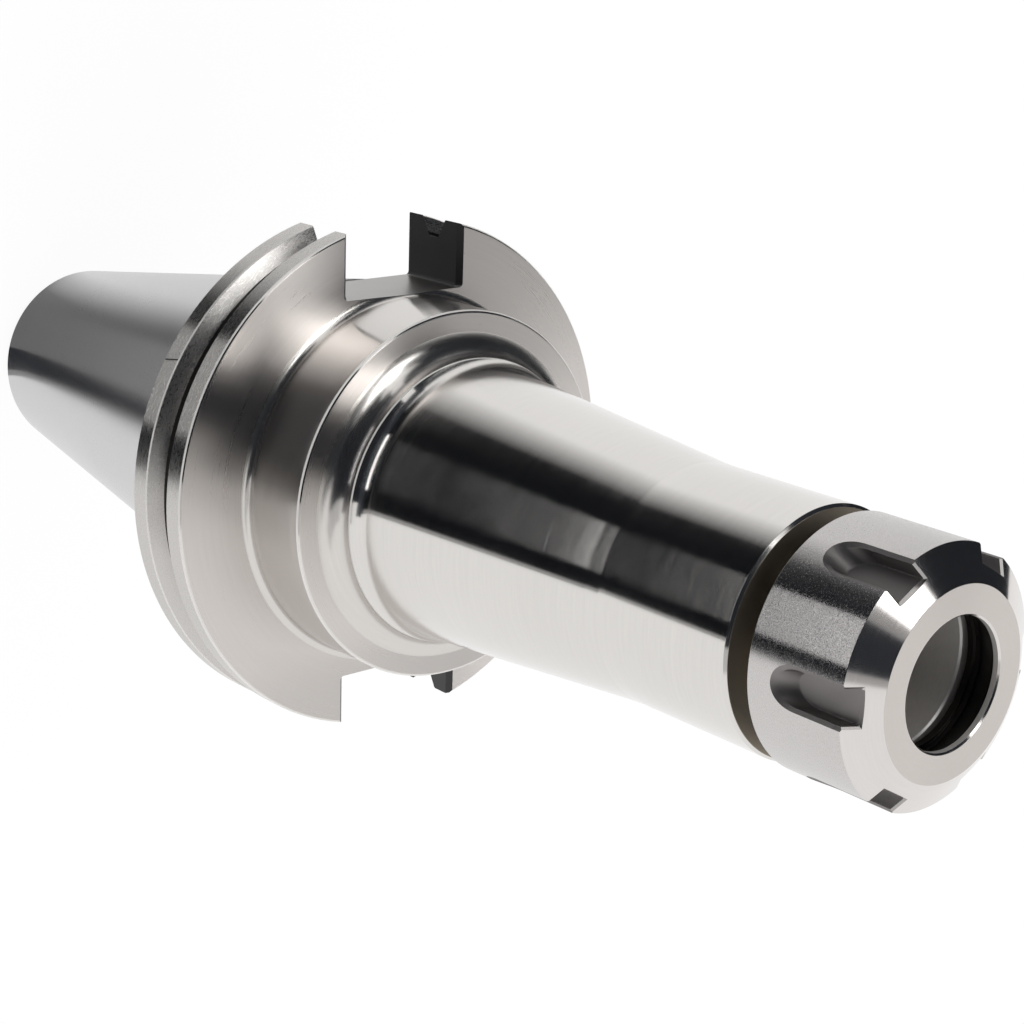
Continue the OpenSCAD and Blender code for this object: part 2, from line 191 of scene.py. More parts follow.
class Finish(Enum):
    """Surface finishes of the turned, ground and milled faces, with painted shade in the groove and the
    slots.
    """

    GROUND = SteelFinish("ground_taper", (0.655, 0.645, 0.65), 0.31, 0.90, 0.25, 0.0018, 50.0, 0.10, 0.05)
    RIM = SteelFinish("ground_rim", (0.61, 0.59, 0.57), 0.29, 0.94, 0.22, 0.0035, 60.0, 0.20, 0.05)
    TURNED = SteelFinish("turned_polish", (0.70, 0.68, 0.655), 0.12, 0.80, 0.30, 0.0070, 2.5, 0.05, 0.03)
    FLANGE = SteelFinish("turned_flange", (0.66, 0.625, 0.60), 0.29, 0.98, 0.60, 0.0010, 2.0, 0.06, 0.03)
    HUB = SteelFinish("turned_hub", (0.67, 0.645, 0.62), 0.20, 0.90, 0.40, 0.0014, 3.0, 0.06, 0.03)
    # Near-black paint in the bottom of the V-groove: painted shade, not a finish of the steel.
    GROOVE_SHADE = SteelFinish("groove_root", (0.055, 0.051, 0.048), 0.42, 0.0, 0.3, 0.001, 6.0, 0.06, 0.08)
    BORE = SteelFinish("bored", (0.56, 0.54, 0.52), 0.36, 0.30, 0.25, 0.003, 12.0, 0.10, 0.12, 0.55)
    THREAD = SteelFinish("cut_thread", (0.42, 0.40, 0.38), 0.30, 0.0, 0.3, 0.001, 6.0, 0.06, 0.06)
    # Milled steel of the slot floors and the nick, its colour darkened further as painted shade of the
    # slots.
    MILLED_AND_SHADE = SteelFinish("milled_slot", (0.31, 0.30, 0.29), 0.32, 0.0, 0.4, 0.002, 9.0, 0.08, 0.08)
    NUT_SIDE = SteelFinish("nut_side", (0.575, 0.555, 0.545), 0.22, 0.90, 0.20, 0.0042, 75.0, 0.26, 0.05)
    NUT_CONE = SteelFinish("nut_cone", (0.70, 0.67, 0.65), 0.13, 0.60, 0.35, 0.0006, 3.0, 0.05, 0.03)
    NUT_FACE = SteelFinish("nut_face", (0.60, 0.56, 0.53), 0.24, 0.60, 0.20, 0.001, 6.0, 0.06, 0.04)
    NUT_SLOT = SteelFinish("nut_slot", (0.27, 0.255, 0.25), 0.52, 0.0, 0.35, 0.003, 30.0, 0.10, 0.08)
    # Near-black copy of the milled steel for the drive slots' side walls: painted shade.
    SLOT_WALL_SHADE = SteelFinish("slot_wall", (0.075, 0.072, 0.073), 0.42, 0.0, 0.35, 0.004, 16.0, 0.12, 0.14)
    # Darker, browner steel on the shoulder face and the thread relief.
    RELIEF = SteelFinish("dull_relief", (0.32, 0.285, 0.235), 0.44, 0.0, 0.3, 0.001, 6.0, 0.06, 0.08)
    BEVEL = SteelFinish("milled_bevel", (0.56, 0.54, 0.52), 0.24, 0.0, 0.3, 0.001, 9.0, 0.06, 0.05)
    EDGE = SteelFinish("worn_edge", (0.68, 0.66, 0.64), 0.38, 0.0, 0.3, 0.001, 6.0, 0.08, 0.12, 0.35)
    BLACK = SteelFinish("black_oxide", (0.045, 0.042, 0.04), 0.32, 0.0, 0.25, 0.001, 6.0, 0.08, 0.10)
    WIRE = SteelFinish("spring_wire", (0.42, 0.42, 0.43), 0.28, 0.0, 0.3, 0.001, 6.0, 0.05, 0.05)


class Wardrobe:
    """Builds each steel once and hands it out."""

    def __init__(self) -> None:
        """Start with nothing built."""
        self._built: dict[Finish, Material] = {}

    def get(self, finish: Finish) -> Material:
        """Return the material of a finish."""
        if finish not in self._built:
            self._built[finish] = finish.value.build()
        return self._built[finish]


@dataclass(frozen=True)
class Corner:
    """One corner of a turned outline.

    Args:
        r: distance from the axis.
        z: place along the axis.
        round: radius that the corner is rounded or filleted to.
        finish: finish of the stretch that leads from this corner to the next.
    """

    r: float
    z: float
    round: float
    finish: Finish


class Outline:
    """A closed outline in the (r, z) half plane, counter-clockwise, with its true normals."""

    def __init__(self, corners: list[Corner]) -> None:
        """Replace every corner by a tangent arc.

        The arc of radius q at a corner that turns by angle a starts q * tan(a/2) before it, and
        its normals turn evenly by a.

        Args:
            corners: the outline's corners in order.
        """
        place = np.array([(c.r, c.z) for c in corners])
        step = np.roll(place, -1, axis=0) - place
        ahead = step / np.linalg.norm(step, axis=1, keepdims=True)
        points, normals, finishes = [], [], []
        for i, corner in enumerate(corners):
            before, after = ahead[i - 1], ahead[i]
            turn = math.atan2(before[0] * after[1] - before[1] * after[0], float(before @ after))
            count = 1 if abs(turn) < STRAIGHT else 2 + int(abs(turn) * (3 + 2.5 * min(corner.round, 4.0)))
            angle = np.linspace(0.0, turn, count)
            start_normal = np.array([before[1], -before[0]])
            normal = np.outer(np.cos(angle), start_normal) + np.outer(np.sin(angle), before)
            start = place[i] - before * corner.round * math.tan(abs(turn) / 2)
            centre = start - math.copysign(corner.round, turn) * start_normal
            points.append(centre + math.copysign(corner.round, turn) * normal)
            normals.append(normal)
            finishes += [corner.finish] * count
        self.points = np.concatenate(points)
        self.normals = np.concatenate(normals)
        self.finishes = finishes

    def normal_at(self, r: np.ndarray, z: np.ndarray) -> np.ndarray:
        """Find the outline's normal at the point of it nearest each (r, z).

        Args:
            r: distances from the axis.
            z: places along the axis.
        Returns:
            One (r, z) unit normal for each point.
        """
        a, b = self.points, np.roll(self.points, -1, axis=0)
        na, nb = self.normals, np.roll(self.normals, -1, axis=0)
        span = b - a
        length = np.maximum((span**2).sum(axis=1), 1e-12)
        found = np.empty((len(r), 2))
        for part in np.array_split(np.arange(len(r)), max(1, len(r) // 8000)):
            p = np.stack([r[part], z[part]], axis=1)[:, None, :]
            share = np.clip(((p - a) * span).sum(axis=2) / length, 0.0, 1.0)
            gap = ((a + share[..., None] * span - p) ** 2).sum(axis=2)
            best = gap.argmin(axis=1)
            s = share[np.arange(len(part)), best][:, None]
            mixed = na[best] * (1 - s) + nb[best] * s
            found[part] = mixed / np.linalg.norm(mixed, axis=1, keepdims=True)
        return found


def new_object(name: str, vertices: np.ndarray, faces: np.ndarray | list) -> Object:
    """Put vertices in millimetres and faces into a new object at the origin.

    Args:
        name: the object's name.
        vertices: an (n, 3) array.
        faces: an (m, 4) array, or a list of index lists.
    Returns:
        The linked object.
    """
    mesh = bpy.data.meshes.new(name)
    faces = faces.tolist() if isinstance(faces, np.ndarray) else faces
    mesh.from_pydata((vertices * MM).tolist(), [], faces)
    mesh.validate()
    obj = bpy.data.objects.new(name, mesh)
    bpy.context.scene.collection.objects.link(obj)
    return obj


def turned(x: np.ndarray, y: np.ndarray, z: np.ndarray, degrees: float) -> np.ndarray:
    """Turn points about Z.

    Args:
        x: how far outwards they are before the turn.
        y: how far sideways they are before the turn.
        z: how high they are.
        degrees: the angle.
    Returns:
        The points, their three coordinates along the last axis.
    """
    x, y, z = np.broadcast_arrays(x, y, z)
    c, s = math.cos(math.radians(degrees)), math.sin(math.radians(degrees))
    return np.stack([x * c - y * s, x * s + y * c, z], axis=-1)


def read(items, field: str, width: int, kind: type) -> np.ndarray:
    """Read one field of all a mesh's vertices, loops or faces.

    Args:
        items: the mesh's collection.
        field: the field's name.
        width: how many numbers the field has.
        kind: their type.
    Returns:
        The numbers, one row for each item where the field has several.
    """
    flat = np.empty(len(items) * width, dtype=kind)
    items.foreach_get(field, flat)
    return flat.reshape(-1, width) if width > 1 else flat


def grid_faces(rows: int, columns: int, wrap_rows: bool, wrap_columns: bool) -> np.ndarray:
    """Index the quads of a grid of vertices stored row by row.

    Args:
        rows: rows of vertices.
        columns: vertices in a row.
        wrap_rows: whether the last row joins the first.
        wrap_columns: whether the last column joins the first.
    Returns:
        An (m, 4) array of vertex indices.
    """
    i = np.arange(rows if wrap_rows else rows - 1)[:, None]
    j = np.arange(columns if wrap_columns else columns - 1)[None, :]
    i2, j2 = (i + 1) % rows, (j + 1) % columns
    quad = [i * columns + j, i * columns + j2, i2 * columns + j2, i2 * columns + j]
    return np.stack([np.broadcast_to(q, (len(i), j.shape[1])) for q in quad], axis=-1).reshape(-1, 4)


def loft(name: str, rings: np.ndarray) -> Object:
    """Join closed rings of equal length into a closed solid with flat ends.

    Args:
        name: the object's name.
        rings: an (l, n, 3) array of l rings of n points.
    Returns:
        The solid, its faces pointing outwards.
    """
    levels, count, _ = rings.shape
    faces = grid_faces(levels, count, False, True).tolist()
    faces.append(list(range(count))[::-1])
    faces.append([(levels - 1) * count + k for k in range(count)])
    corners = rings.reshape(-1, 3)
    first = corners[faces[0][0]]
    volume = sum(
        float(np.dot(corners[f[0]] - first, np.cross(corners[f[k]] - first, corners[f[k + 1]] - first)))
        for f in faces
        for k in range(1, len(f) - 1)
    )
    if volume < 0:
        faces = [f[::-1] for f in faces]
    return new_object(name, corners, faces)


class TurnedPiece:
    """A solid of revolution about Z that cutters may be taken out of."""

    segments = 288
    sharp_angle = 26.0
    facing = 0.6

    def __init__(self, name: str, outline: Outline, wardrobe: Wardrobe) -> None:
        """Revolve the outline.

        Every vertex is (r cos t, r sin t, z) for an outline point (r, z) and an even angle t.

        Args:
            name: the object's name.
            outline: the closed outline.
            wardrobe: where the materials come from.
        """
        self.outline = outline
        self.wardrobe = wardrobe
        turn = np.arange(self.segments) * 2 * math.pi / self.segments
        r, z = outline.points[:, :1], outline.points[:, 1:]
        vertices = np.stack([r * np.cos(turn), r * np.sin(turn), z + 0 * turn], axis=-1).reshape(-1, 3)
        self.object = new_object(name, vertices, grid_faces(len(r), self.segments, True, True))
        self.turned = list(dict.fromkeys(outline.finishes))
        for finish in self.turned:
            self.object.data.materials.append(wardrobe.get(finish))
        index = np.array([self.turned.index(finish) for finish in outline.finishes], dtype=np.int32)
        self.object.data.polygons.foreach_set("material_index", np.repeat(index, self.segments))

    def cut(self, cutters: list[Object], finish: Finish) -> None:
        """Take cutters out of the piece; the faces that they leave get their own finish.

        Args:
            cutters: closed solids that don't touch each other.
            finish: finish of the cut faces.
        """
        tool = join(cutters)
        tool.data.materials.append(self.wardrobe.get(finish))
        change = self.object.modifiers.new("cut", "BOOLEAN")
        change.object, change.operation, change.solver = tool, "DIFFERENCE", "EXACT"
        change.material_mode = "TRANSFER"
        bpy.context.view_layer.update()
        shown = self.object.evaluated_get(bpy.context.evaluated_depsgraph_get())
        mesh = bpy.data.meshes.new_from_object(shown)
        self.object.modifiers.clear()
        self.object.data = mesh
        bpy.data.objects.remove(tool)

    def repaint(self, old: Finish, new: Finish, axis: tuple[float, float, float]) -> None:
        """Give cut faces that face along an axis, either way, another finish.

        Args:
            old: the finish that they were cut with.
            new: the finish that they get.
            axis: the unit direction.
        """
        mesh = self.object.data
        mesh.materials.append(self.wardrobe.get(new))
        was = [material.name for material in mesh.materials].index(old.value.name)
        for face in mesh.polygons:
            if face.material_index == was and abs(face.normal.dot(axis)) > self.facing:
                face.material_index = len(mesh.materials) - 1

    def polish(self) -> Object:
        """Give turned faces the outline's true normals, and cut faces crisp edges.

        Returns:
            The finished object.
        """
        mesh = self.object.data
        mesh.set_sharp_from_angle(angle=math.radians(self.sharp_angle))
        normals = read(mesh.corner_normals, "vector", 3, float)
        place = read(mesh.vertices, "co", 3, float) / MM
        radius = np.hypot(place[:, 0], place[:, 1])
        flat = self.outline.normal_at(radius, place[:, 2])
        outwards = flat[:, :1] * place[:, :2] / radius[:, None]
        true = np.hstack([outwards, flat[:, 1:]])
        vertex = read(mesh.loops, "vertex_index", 1, np.int32)
        sizes = read(mesh.polygons, "loop_total", 1, np.int32)
        slots = read(mesh.polygons, "material_index", 1, np.int32)
        names = [finish.value.name for finish in self.turned]
        turned = np.array([material.name in names for material in mesh.materials])
        loops = np.repeat(turned[slots], sizes)
        normals[loops] = true[vertex[loops]]
        mesh.normals_split_custom_set(normals.tolist())
        return self.object


def join(objects: list[Object]) -> Object:
    """Join objects into the first of them and return it."""
    if len(objects) > 1:
        with bpy.context.temp_override(active_object=objects[0], selected_editable_objects=objects):
            bpy.ops.object.join()
    return objects[0]


@dataclass(frozen=True)
class Thread:
    """A helical ridge of thread, its foot sunk in the wall that it stands on.

    Args:
        root_r: radius of the wall.
        crest_r: radius of the ridge's crest; less than root_r on an inside thread.
        start: where the first turn begins.
        end: where the last turn ends.
        pitch: advance of one turn.
        phase: share of a turn that the ridge is turned by.
        sink: how deep its foot stands in the wall.
        half_widths: its half widths at the foot and the crest, as shares of the pitch.
        fade: turns over which it rises at its ends.
        steps: sections in a turn.
    """

    root_r: float
    crest_r: float
    start: float
    end: float
    pitch: float
    phase: float = 0.0
    sink: float = 0.06
    half_widths: tuple[float, float] = (0.46, 0.07)
    fade: float = 0.5
    steps: int = 96

    def build(self, name: str, material: Material) -> Object:
        """Sweep the ridge's section along its helix.

        At turn t the section's middle stands at z = start + pitch * t and angle 2 pi (t + phase).
        Its crest rises out of the wall over the first turns and sinks into it over the last.

        Args:
            name: the object's name.
            material: its steel.
        Returns:
            The closed ridge.
        """
        turns = (self.end - self.start) / self.pitch
        t = np.linspace(0.0, turns, int(self.steps * turns) + 1)
        height = np.clip(np.minimum(t, turns - t) / self.fade, 0.0, 1.0)
        outward = math.copysign(1.0, self.crest_r - self.root_r)
        foot_r = self.root_r - outward * self.sink
        crest = foot_r + (self.crest_r - foot_r) * height
        foot, top = self.half_widths
        side = np.array([-foot, -top, top, foot]) * self.pitch
        radius = np.stack([np.full_like(t, foot_r), crest, crest, np.full_like(t, foot_r)], axis=1)
        angle = 2 * math.pi * (self.start / self.pitch + t + self.phase)[:, None]
        z = self.start + self.pitch * t[:, None] + side
        ridge = loft(name, np.stack([radius * np.cos(angle), radius * np.sin(angle), z], axis=-1))
        ridge.data.materials.append(material)
        ridge.data.shade_smooth()
        ridge.data.set_sharp_from_angle(angle=math.radians(30))
        return ridge


@dataclass
class HolderBody:
    """The one-piece holder: taper, V-flange with two drive slots, hub, neck and threaded nose."""

    gauge_r: float = 34.925
    shank_len: float = 101.6
    taper_share: float = 0.2916667
    shank_chamfer: float = 1.2
    relief_depth: float = 0.8
    pilot_r: float = 13.1
    pilot_depth: float = 25.4
    pilot_chamfer: float = 0.5
    drawbar_r: float = 11.125
    drawbar_root_r: float = 12.65
    drawbar_len: float = 44.45
    drawbar_pitch: float = 3.175
    drawbar_thread_gaps: tuple[float, float] = (1.7, 2.2)
    drawbar_runout: float = 2.0
    drill_point: float = 3.675
    flange_r: float = 49.2125
    flange_back: float = 3.175
    flange_front: float = 19.05
    rim_chamfer: float = 0.45
    groove_z: float = 11.1125
    groove_mouth: float = 6.8
    groove_angle: float = 60.0
    groove_root_r: float = 45.625
    groove_break: float = 0.2
    groove_fillet: float = 0.8
    slot_w: float = 25.7
    slot_floor_deep: float = 35.3
    slot_floor_shallow: float = 37.7
    slot_corner: float = 0.8
    slot_chamfer: float = 1.0
    slot_burr: float = 0.25
    hub_r: float = 34.925
    hub_front: float = 34.925
    hub_fillet: float = 1.5
    hub_chamfer: float = 0.5
    ridge_r: float = 26.9
    step_fillet: float = 4.2
    blend_r: float = 9.0
    neck_angle: float = 5.0
    neck_front: float = 94.6
    neck_step: float = 0.2
    neck_step_len: float = 3.0
    neck_r: float = 20.9
    shoulder_z: float = 126.2
    shoulder_chamfer: float = 0.5
    nose_r: float = 16.0
    nose_core_r: float = 15.08
    nose_pitch: float = 1.5
    nose_relief_r: float = 14.8
    nose_relief_w: float = 3.0
    nose_z: float = 143.2
    nose_thread_gaps: tuple[float, float] = (1.6, 0.9)
    pocket_r: float = 13.0
    pocket_angle: float = 8.0
    pocket_depth: float = 30.0
    pocket_chamfer: float = 0.3
    tool_bore_r: float = 8.75
    tool_bore_len: float = 25.2
    coolant_r: float = 5.0
    screw_bore_r: float = 8.05
    screw_bore_len: float = 32.0
    nick_angle: float = 149.0
    nick_w: float = 0.35
    nick_depth: float = 0.09
    ridge_round: float = 0.6
    neck_round: float = 6.0
    relief_round: float = 0.3
    flange_fillet: float = 0.5
    nose_fillet: float = 0.4
    nose_edge: float = 0.3
    bore_round: float = 0.2
    edge: float = 0.15
    crisp: float = 0.1
    over: float = 1.0

    def neck_cone_r(self, z: float) -> float:
        """Radius of the neck's cone at z."""
        rise = (self.neck_front - z) * math.tan(math.radians(self.neck_angle))
        return self.neck_r + self.neck_step + rise

    def taper_r(self, z: float) -> float:
        """Radius of the steep taper at z."""
        return self.gauge_r + z * self.taper_share / 2

    def ridge_corners(self) -> list[Corner]:
        """Lay out the fillet in front of the hub, the ridge, and the hollow that runs into the cone.

        The hollow's arc touches the cone and starts at the ridge. With h as the ridge's height
        over the cone, it turns by a where cos a = 1 - h / blend_r, and its two tangents meet
        blend_r * tan(a/2) from the ridge.
        """
        ridge_z = self.hub_front + self.step_fillet
        height = (self.ridge_r - self.neck_cone_r(ridge_z)) * math.cos(math.radians(self.neck_angle))
        turn = math.acos(1 - height / self.blend_r)
        lean = turn + math.radians(self.neck_angle)
        reach = self.blend_r * math.tan(turn / 2)
        used = self.ridge_round * math.tan(lean / 2)
        past = used + 0.05
        back, up = math.sin(lean), math.cos(lean)
        hollow = (reach - past) / math.tan(turn / 2)
        r = self.ridge_r
        return [
            Corner(r, self.hub_front, self.step_fillet - used, Finish.HUB),
            Corner(r, ridge_z, self.ridge_round, Finish.EDGE),
            Corner(r - past * back, ridge_z + past * up, 0.0, Finish.TURNED),
            Corner(r - reach * back, ridge_z + reach * up, hollow, Finish.TURNED),
        ]

    def outline(self) -> Outline:
        """Lay out the whole section, from the pilot bore round the outside and back down the bores."""
        edge, crisp, wall = self.edge, self.crisp, math.radians(self.groove_angle / 2)
        rim, gauge, hub, neck, nose = self.flange_r, self.gauge_r, self.hub_r, self.neck_r, self.nose_core_r
        half_mouth = self.groove_mouth / 2
        root, half_root = self.groove_root_r, half_mouth - (rim - self.groove_root_r) * math.tan(wall)
        break_r = rim - self.groove_break * math.cos(wall)
        half_break = half_mouth - self.groove_break * math.sin(wall)
        # From shade_r down, the groove's rear wall and its root are painted near black: painted shade in
        # the groove.
        shade_r = root + self.groove_fillet
        half_shade = half_mouth - (rim - shade_r) * math.tan(wall)
        half_open = half_mouth + self.groove_break
        middle, front, rim_front = self.groove_z, self.flange_front, self.flange_front - self.rim_chamfer
        end, shank_edge = -self.shank_len, -self.shank_len + self.shank_chamfer
        pilot_end = end + self.pilot_depth
        drawbar_end = pilot_end + self.drawbar_len
        half_chamfer, hub_front = self.hub_chamfer / 2, self.hub_front
        relief_r, relief_top = self.nose_relief_r, self.shoulder_z + self.nose_relief_w
        pocket_r, pocket_back = self.pocket_r, self.nose_z - self.pocket_depth
        pocket_back_r = pocket_r - self.pocket_depth * math.tan(math.radians(self.pocket_angle))
        screw_top = pocket_back - self.tool_bore_len
        screw_bottom = screw_top - self.screw_bore_len
        corners = [
            Corner(self.pilot_r + self.pilot_chamfer, end, edge, Finish.GROUND),
            Corner(self.taper_r(end) - self.shank_chamfer, end, self.relief_round, Finish.GROUND),
            Corner(self.taper_r(shank_edge), shank_edge, self.flange_fillet, Finish.GROUND),
            Corner(gauge, 0.0, edge, Finish.GROUND),
            Corner(gauge - self.relief_depth, self.relief_depth, self.relief_round, Finish.GROUND),
            Corner(gauge - self.relief_depth, self.flange_back, self.flange_fillet, Finish.FLANGE),
            Corner(rim - self.rim_chamfer, self.flange_back, edge, Finish.TURNED),
            Corner(rim, self.flange_back + self.rim_chamfer, edge, Finish.RIM),
            Corner(rim, middle - half_open, crisp, Finish.EDGE),
            Corner(break_r, middle - half_break, crisp, Finish.RIM),
            # Painted shade: the groove is near black from this corner through its root.
            Corner(shade_r, middle - half_shade, 0.0, Finish.GROOVE_SHADE),
            Corner(root, middle - half_root, self.groove_fillet, Finish.GROOVE_SHADE),
            Corner(root, middle + half_root, self.groove_fillet, Finish.RIM),
            Corner(break_r, middle + half_break, crisp, Finish.TURNED),
            Corner(rim, middle + half_open, crisp, Finish.RIM),
            Corner(rim, rim_front, edge, Finish.EDGE),
            Corner(rim - self.rim_chamfer / 2, front - self.rim_chamfer / 2, 0.0, Finish.TURNED),
            Corner(rim - self.rim_chamfer, front, edge, Finish.FLANGE),
            Corner(hub, front, self.hub_fillet, Finish.HUB),
            Corner(hub, hub_front - self.hub_chamfer, crisp, Finish.EDGE),
            Corner(hub - half_chamfer, hub_front - half_chamfer, 0.0, Finish.TURNED),
            Corner(hub - self.hub_chamfer, hub_front, self.bore_round, Finish.FLANGE),
            *self.ridge_corners(),
            Corner(neck + self.neck_step, self.neck_front, self.neck_round, Finish.TURNED),
            Corner(neck, self.neck_front + self.neck_step_len, self.neck_round, Finish.TURNED),
            Corner(neck, self.shoulder_z - self.shoulder_chamfer, edge, Finish.TURNED),
            Corner(neck - self.shoulder_chamfer, self.shoulder_z, edge, Finish.RELIEF),
            Corner(relief_r, self.shoulder_z, self.nose_fillet, Finish.RELIEF),
            Corner(relief_r, relief_top, crisp, Finish.THREAD),
            Corner(nose, relief_top + nose - relief_r, crisp, Finish.THREAD),
            Corner(nose, self.nose_z - self.nose_edge, crisp, Finish.BORE),
            Corner(nose - self.nose_edge, self.nose_z, crisp, Finish.BORE),
            Corner(pocket_r + self.pocket_chamfer, self.nose_z, 0.05, Finish.BORE),
            Corner(pocket_r, self.nose_z - self.pocket_chamfer, crisp, Finish.BORE),
            Corner(pocket_back_r, pocket_back, 0.01, Finish.BORE),
            Corner(self.tool_bore_r, pocket_back, 0.01, Finish.BORE),
            Corner(self.tool_bore_r, screw_top, crisp, Finish.BORE),
            Corner(self.screw_bore_r, screw_top, crisp, Finish.THREAD),
            Corner(self.screw_bore_r, screw_bottom, self.bore_round, Finish.BORE),
            Corner(self.coolant_r, screw_bottom, self.bore_round, Finish.BORE),
            Corner(self.coolant_r, drawbar_end + self.drill_point, crisp, Finish.BORE),
            Corner(self.drawbar_r, drawbar_end, crisp, Finish.THREAD),
            Corner(self.drawbar_root_r, drawbar_end - self.drawbar_runout, crisp, Finish.THREAD),
            Corner(self.drawbar_root_r, pilot_end, crisp, Finish.BORE),
            Corner(self.pilot_r, pilot_end, crisp, Finish.BORE),
            Corner(self.pilot_r, end + self.pilot_chamfer, crisp, Finish.BORE),
        ]
        return Outline(corners)

    def drive_slot(self, floor: float, turn: float) -> Object:
        """Make the cutter of one drive slot.

        Its section in (x, y) is a box open outwards with rounded inner corners. Over the front
        chamfer every point moves sideways by the distance that the chamfer has opened.

        Args:
            floor: distance from the axis to the slot's floor.
            turn: angle in degrees from +Y.
        Returns:
            The cutter.
        """
        beyond = 2 * self.over
        half, top, q = self.slot_w / 2, self.flange_r + beyond, self.slot_corner
        bend = np.radians(np.linspace(0.0, 90.0, 7))
        right = np.stack([half - q + q * np.sin(bend), floor + q - q * np.cos(bend)], axis=1)
        right = np.vstack([right, [half, top]])
        section = np.vstack([right, right[::-1] * [-1, 1]])
        back, front, wide = self.flange_back, self.flange_front, self.slot_chamfer + beyond
        opening = np.array([self.slot_burr + beyond, 0.0, 0.0, wide, wide])
        level = np.array([
            back - beyond, back + self.slot_burr, front - self.slot_chamfer, front + beyond,
            front + self.hub_fillet + beyond,
        ])
        x = section[:, 0] + np.sign(section[:, 0]) * opening[:, None]
        return loft("drive_slot_cutter", turned(x, section[:, 1], level[:, None], turn))

    def nick(self) -> Object:
        """Make the cutter of the small slanted scratch across the rear rim, a wedge open outwards."""
        over = self.over
        r = np.array([-self.nick_depth, over, over]) + self.flange_r
        groove_start = self.groove_z - self.groove_mouth / 2 - self.groove_break
        level = np.array([self.flange_back + self.rim_chamfer, groove_start])
        spread = self.nick_w / 2 * (1 + over / self.nick_depth)
        side = np.array([0.0, spread, -spread]) + np.array([[self.nick_w], [-self.nick_w]])
        return loft("nick_cutter", turned(r, side, level[:, None], self.nick_angle))

    def build(self, wardrobe: Wardrobe) -> Object:
        """Build the body, cut its slots and thread it.

        Args:
            wardrobe: where the materials come from.
        Returns:
            The dressed body.
        """
        body = TurnedPiece("holder_body_finished", self.outline(), wardrobe)
        deep = self.drive_slot(self.slot_floor_deep, 0.0)
        shallow = self.drive_slot(self.slot_floor_shallow, 180.0)
        # The cut faces get the milled steel, darkened as painted shade.
        body.cut([deep, shallow, self.nick()], Finish.MILLED_AND_SHADE)
        # The side walls, facing along X, get the near-black copy: painted shade in the slots.
        body.repaint(Finish.MILLED_AND_SHADE, Finish.SLOT_WALL_SHADE, (1.0, 0.0, 0.0))
        finished = body.polish()
        steel = wardrobe.get(Finish.THREAD)
        before, after = self.nose_thread_gaps
        nose = Thread(
            self.nose_core_r, self.nose_r - 0.02, self.shoulder_z + self.nose_relief_w + before,
            self.nose_z - after, self.nose_pitch,
        ).build("nose_thread", steel)
        before, after = self.drawbar_thread_gaps
        start = -self.shank_len + self.pilot_depth
        drawbar = Thread(
            self.drawbar_root_r, self.drawbar_r + 0.02, start + before,
            start + self.drawbar_len - after, self.drawbar_pitch,
        ).build("drawbar_thread", steel)
        return join([finished, nose, drawbar])


